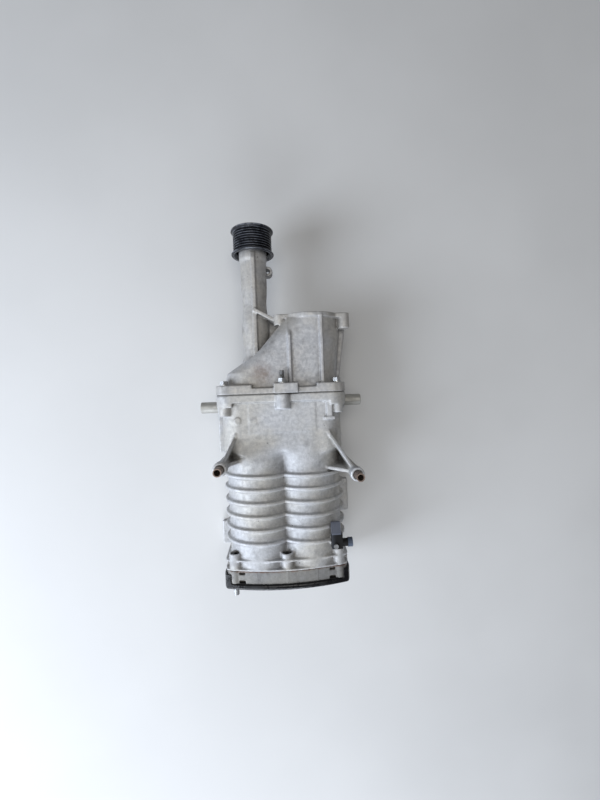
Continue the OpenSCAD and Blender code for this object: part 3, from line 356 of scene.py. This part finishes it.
# nodes that look different from the rest of their material slot
special = {
    "inlet_housing": duct_aluminium(),
    "side_spigots": steel("spigot_cast", (0.38, 0.375, 0.35), (0.20, 0.19, 0.17), 0.4, 0.42, 0.6),
    "sensor_bracket": steel("bracket_zinc", (0.20, 0.22, 0.275), (0.10, 0.11, 0.14), 0.75, 0.24,
                            0.42),
    "pulley": pulley_paint(),
    "joint_stud": threaded(),
}

slots = {part["node"]: part["material_slot"] for part in frame["record"]["subparts"]}


def paint(obj, material):
    obj.data.materials.clear()
    obj.data.materials.append(material)


def finish_of(node):
    return special.get(node, finishes[slots[node]])


for name, obj in nodes.items():
    paint(obj, finish_of(name))


# ---------------------------------------------------------------- castings
def baked(obj):
    """The object's mesh with its modifiers applied."""
    graph = bpy.context.evaluated_depsgraph_get()
    graph.update()
    return bpy.data.meshes.new_from_object(obj.evaluated_get(graph))


def smooth_mesh(mesh, rounds, soften=None):
    """Rounds every corner a little. soften(points) gives 0 to 1 where it goes on for longer."""
    points = np.empty(len(mesh.vertices) * 3, np.float32)
    mesh.vertices.foreach_get("co", points)
    points = points.reshape(-1, 3).astype(np.float64)
    edges = np.empty(len(mesh.edges) * 2, np.int32)
    mesh.edges.foreach_get("vertices", edges)
    a, b = edges.reshape(-1, 2).T
    count = np.bincount(a, minlength=len(points)) + np.bincount(b, minlength=len(points))

    def mean(values):
        """The mean of each point's neighbours."""
        total = np.empty_like(values)
        for axis in range(3):
            total[:, axis] = (np.bincount(a, values[b, axis], len(points))
                              + np.bincount(b, values[a, axis], len(points)))
        return total / count[:, None]

    # a shrinking pass and a smaller growing pass, which keeps the volume
    shrink, grow = 0.55, 0.30
    for _ in range(rounds):
        points += shrink * (mean(points) - points)
        points -= grow * (mean(points) - points)
    if soften is not None:
        amount = soften(points)[:, None]
        long_rounds = 60
        for _ in range(long_rounds):
            points += 0.5 * amount * (mean(points) - points)
    mesh.vertices.foreach_set("co", points.astype(np.float32).ravel())
    mesh.update()


def shoulder(points):
    """1 on top of the step between the plenum and the bores, and 0 away from it."""
    x, y, z = points.T
    fade, side_fade, up_fade = 6 * mm, 8 * mm, 10 * mm
    behind = np.clip((y - (bores_rear - 10 * mm)) / fade, 0, 1)
    ahead = np.clip((bores_front + 22 * mm - y) / fade, 0, 1)
    inside = np.clip((56 * mm - np.abs(x)) / side_fade, 0, 1)
    above = np.clip((z - (drive_axis.z + 20 * mm)) / up_fade, 0, 1)
    return behind * ahead * inside * above


def casting(node, voxel, rounds, faces, soften=None):
    """The CAD node's shape as a casting: rebuilt in voxels, its corners rounded by smoothing."""
    obj = bpy.data.objects.new(node + "_rough", nodes[node].data.copy())
    bpy.context.scene.collection.objects.link(obj)
    remesh = obj.modifiers.new("remesh", "REMESH")
    remesh.mode = "VOXEL"
    remesh.voxel_size = voxel * 1
    shaped = baked(obj)
    smooth_mesh(shaped, rounds, soften)
    obj.modifiers.clear()
    obj.data = shaped
    triangles = len(shaped.polygons) * 2
    if triangles > faces:
        fewer = obj.modifiers.new("fewer", "DECIMATE")
        fewer.ratio = faces / triangles
        shaped = baked(obj)
    bpy.data.objects.remove(obj)
    return shaped


def show_casting(node, mesh):
    """Shows a mesh in place of the CAD node, on the housing."""
    obj = bpy.data.objects.new(node + "_cast", mesh)
    bpy.context.scene.collection.objects.link(obj)
    mesh.polygons.foreach_set("use_smooth", [True] * len(mesh.polygons))
    paint(obj, finish_of(node))
    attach(obj, "housing")
    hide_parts(node)


# node, voxel size, rounds of smoothing, most triangles, where it is softened for longer
for node, voxel, rounds, faces, soften in (
        ("rotor_housing", 1.15 * mm, 2, 198000, shoulder),
        ("inlet_housing", 1.05 * mm, 2, 150000, None),
        ("bearing_plate", 1.0 * mm, 2, 80000, None),
        ("gear_cover", 1.0 * mm, 4, 60000, None)):
    show_casting(node, casting(node, voxel, rounds, faces, soften))


# ---------------------------------------------------------------- edges of the small pieces
def bevel(node, width, angle=35, segments=2):
    made = nodes[node].modifiers.new("bevel", "BEVEL")
    made.width = width
    made.segments = segments
    made.limit_method = "ANGLE"
    made.angle_limit = math.radians(angle)


for node in ("joint_bolts", "stud_nut", "foot_sleeves", "sensor_body", "sensor_cap", "sensor_bracket",
             "sensor_screw", "cover_plug", "side_spigots"):
    bevel(node, 0.35 * mm)

# ---------------------------------------------------------------- floor
floor_reach = 30
floor_mesh = bpy.data.meshes.new("studio_floor")
bm = bmesh.new()
bmesh.ops.create_grid(bm, x_segments=1, y_segments=1, size=floor_reach)
bm.to_mesh(floor_mesh)
bm.free()
floor = bpy.data.objects.new("studio_floor", floor_mesh)
bpy.context.scene.collection.objects.link(floor)
paint(floor, floor_paint())

# ---------------------------------------------------------------- lights
scene = bpy.context.scene
scene.view_settings.view_transform = "Standard"
world = bpy.data.worlds.new("studio")
world.use_nodes = True
background = world.node_tree.nodes["Background"]
background.inputs["Color"].default_value = (0.86, 0.90, 1.0, 1)
background.inputs["Strength"].default_value = 0.10
scene.world = world


def softbox(name, place, aim, size, watts, colour):
    light = bpy.data.lights.new(name, "AREA")
    light.shape = "RECTANGLE"
    light.size, light.size_y = size
    light.energy = watts
    light.color = colour
    obj = bpy.data.objects.new(name, light)
    scene.collection.objects.link(obj)
    obj.location = place
    obj.rotation_euler = (Vector(aim) - Vector(place)).to_track_quat("-Z", "Y").to_euler()


# cool window light from the left and rear, a warm lamp overhead and a faint fill
softbox("key_left", (-1.5, -0.5, 0.9), (0, 0, 0.1), (0.8, 1.3), 33, (0.82, 0.89, 1.0))
softbox("key_rear", (-0.4, -1.7, 0.9), (0, -0.1, 0.05), (1.4, 0.7), 24, (0.85, 0.91, 1.0))
softbox("overhead", (0.0, 0.2, 2.1), (0, 0, 0), (1.2, 1.2), 15, (1.0, 0.975, 0.93))
softbox("right", (1.7, 0.3, 0.8), (0, 0, 0.1), (0.9, 0.9), 0.4, (1.0, 0.88, 0.74))

# ---------------------------------------------------------------- camera
# A wide lens looking straight down, a little off level. The angles are in radians.
turn_z, tilt_y, tilt_x = 0.038, 0.048, 0.021
camera = bpy.data.objects.new("camera", bpy.data.cameras.new("camera"))
scene.collection.objects.link(camera)
scene.camera = camera
camera.data.sensor_width = 36
camera.data.lens = 16.43
camera.data.clip_start = 0.01
camera.location = (0.00162, 0.02256, 0.62794)
turn = (Matrix.Rotation(turn_z, 3, "Z") @ Matrix.Rotation(tilt_y, 3, "Y")
        @ Matrix.Rotation(tilt_x, 3, "X")).transposed()
camera.rotation_mode = "QUATERNION"
camera.rotation_quaternion = turn.to_quaternion()
